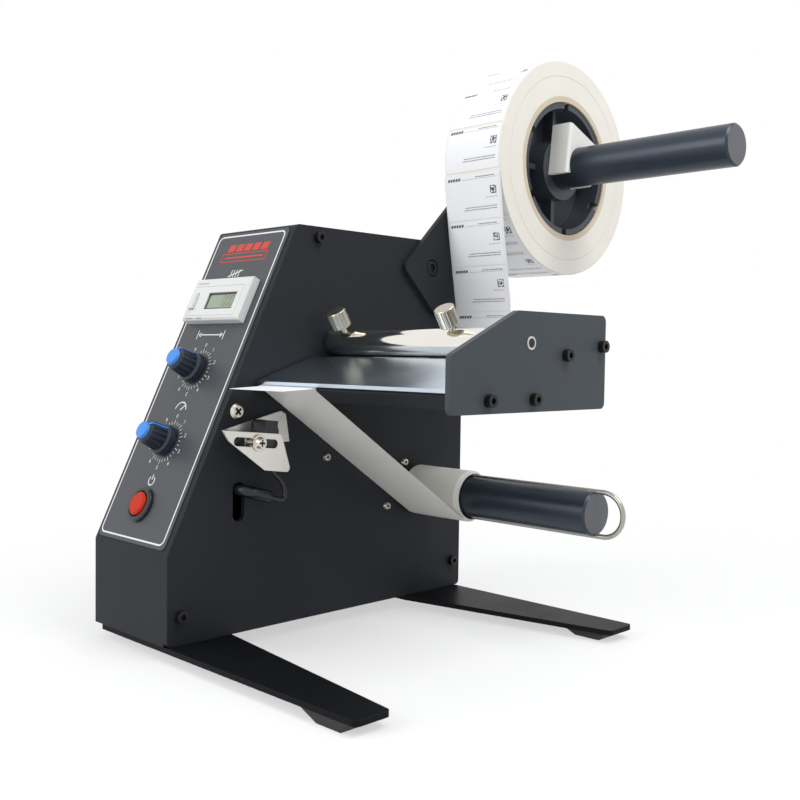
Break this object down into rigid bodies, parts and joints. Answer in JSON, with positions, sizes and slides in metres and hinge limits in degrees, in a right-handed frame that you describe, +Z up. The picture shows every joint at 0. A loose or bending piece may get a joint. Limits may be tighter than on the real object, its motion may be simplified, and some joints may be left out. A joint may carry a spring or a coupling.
{
  "type": "automatic label dispenser",
  "caption": "Benchtop label dispenser: sloped control housing with a side plate carrying a label reel shaft, peel table with press bar, take-up shaft and two splayed legs.",
  "frame": {"origin": "middle of the whole object's bounding box in plan, at the feet's soles", "axes": "+X along the cantilevered shafts away from the housing, +Y from the control panel to the back, +Z up"},
  "size_m": [0.214, 0.2998, 0.3118],
  "materials": {
    "powder_black": "fine satin powder coat",
    "arm_black": "satin powder coat",
    "anodised_black": "satin black anodised",
    "stainless": "polished stainless",
    "chrome_bar": "polished",
    "steel_rod": "ground",
    "nickel": "nickel plated",
    "zinc": "zinc plated sheet",
    "black_oxide": "black oxide",
    "black_plastic": "satin moulded",
    "foot_rubber": "matt",
    "cable_black": "satin",
    "white_plastic": "satin moulded",
    "core_card": "matt",
    "wound_paper": "wound edge",
    "label_paper": "coated",
    "liner_paper": "glassine",
    "panel_print": "printed polycarbonate",
    "counter_plastic": "satin moulded",
    "lcd": "liquid crystal window",
    "red_plastic": "translucent red",
    "blue_plastic": "moulded",
    "pot_metal": "nickel plated",
    "drive_metal": "zinc plated",
    "board_green": "solder mask",
    "brass": "plain",
    "block_steel": "painted with the cover",
    "spring_wire": "bright drawn wire"
  },
  "bodies": {
    "machine": {"arm_screws": "black_oxide", "base_plate": "powder_black", "board_standoffs": "brass", "control_board": "board_green", "corner_blocks": "block_steel", "counter_case": "counter_plastic", "counter_lcd": "lcd", "cover_screws": "black_oxide", "cross_screw": "nickel", "drive_motor": "drive_metal", "front_label": "label_paper", "front_leg": "powder_black", "gearbox": "drive_metal", "guide_collar": "black_plastic", "guide_rods": "steel_rod", "housing_cover": "powder_black", "inner_feet": "foot_rubber", "label_web": "label_paper", "lead_sleeve": "cable_black", "leg_screws": "black_oxide", "length_pot": "pot_metal", "liner_web": "liner_paper", "outer_feet": "foot_rubber", "outer_plate": "powder_black", "outer_plate_screws": "black_oxide", "panel_overlay": "panel_print", "peel_bed": "powder_black", "peel_plate": "stainless", "power_inlet": "black_plastic", "power_switch": "black_plastic", "press_bar_axle": "steel_rod", "press_bar_bush": "black_plastic", "rear_leg": "powder_black", "sensor_bracket": "zinc", "sensor_lead": "cable_black", "side_plate": "powder_black", "small_screws": "nickel", "speed_pot": "pot_metal", "supply_arm": "arm_black", "supply_shaft": "anodised_black", "take_up_bearing": "black_plastic"},
    "reel": {"supply_hub": "black_plastic", "label_core": "core_card", "label_roll": "wound_paper"},
    "stop_clip": {"reel_stop_clip": "white_plastic"},
    "take_up": {"take_up_shaft": "anodised_black", "liner_winding": "liner_paper"},
    "wire": {"wire_clip": "spring_wire"},
    "bar": {"press_bar": "chrome_bar"},
    "thumb_left": {"thumb_screw_left": "nickel"},
    "thumb_right": {"thumb_screw_right": "nickel"},
    "sensor": {"sensor_head": "black_plastic", "sensor_screw": "nickel"},
    "length_dial": {"length_knob": "black_plastic", "length_knob_cap": "blue_plastic"},
    "speed_dial": {"speed_knob": "black_plastic", "speed_knob_cap": "blue_plastic"},
    "button": {"power_button": "red_plastic"},
    "reset": {"counter_reset": "counter_plastic"}
  },
  "joints": [
    {"name": "supply_spin", "type": "hinge", "parent": "machine", "child": "reel", "pos_m": [0, 0.0889, 0.2508], "axis": [1, 0, 0], "continuous": true},
    {"name": "take_up_spin", "type": "hinge", "parent": "machine", "child": "take_up", "pos_m": [0, 0.0111, 0.0667], "axis": [1, 0, 0], "continuous": true},
    {"name": "stop_clip_slide", "type": "slide", "parent": "machine", "child": "stop_clip", "axis": [1, 0, 0], "range_m": [0, 0.09]},
    {"name": "wire_clip_slide", "type": "slide", "parent": "take_up", "child": "wire", "axis": [1, 0, 0], "range_m": [0, 0.1]},
    {"name": "press_bar_turn", "type": "hinge", "parent": "machine", "child": "bar", "pos_m": [0, -0.0506, 0.1475], "axis": [1, 0, 0], "range_deg": [-30, 45]},
    {"name": "thumb_left_turn", "type": "hinge", "parent": "bar", "child": "thumb_left", "pos_m": [-0.03, -0.0506, 0.1475], "axis": [0, -0.5299, 0.848], "continuous": true},
    {"name": "thumb_right_turn", "type": "hinge", "parent": "bar", "child": "thumb_right", "pos_m": [0.0434, -0.0506, 0.1475], "axis": [0, -0.5299, 0.848], "continuous": true},
    {"name": "sensor_slide", "type": "slide", "parent": "machine", "child": "sensor", "axis": [0, 0.9949, -0.1011], "range_m": [-0.004, 0.006]},
    {"name": "length_dial_turn", "type": "hinge", "parent": "machine", "child": "length_dial", "pos_m": [-0.0776, -0.11037, 0.13275], "axis": [0, -0.9045, 0.4264], "range_deg": [-150, 150]},
    {"name": "speed_dial_turn", "type": "hinge", "parent": "machine", "child": "speed_dial", "pos_m": [-0.0776, -0.12704, 0.09738], "axis": [0, -0.9045, 0.4264], "range_deg": [-150, 150]},
    {"name": "power_button_press", "type": "slide", "parent": "machine", "child": "button", "axis": [0, 0.9045, -0.4264], "range_m": [0, 0.0025], "stiffness_N_per_m": 800},
    {"name": "counter_reset_press", "type": "slide", "parent": "machine", "child": "reset", "axis": [0, 0.9045, -0.4264], "range_m": [0, 0.001], "stiffness_N_per_m": 500}
  ],
  "couplings": [
    {"joint": "take_up_spin", "follows": "supply_spin", "ratio": 4.4526}
  ]
}
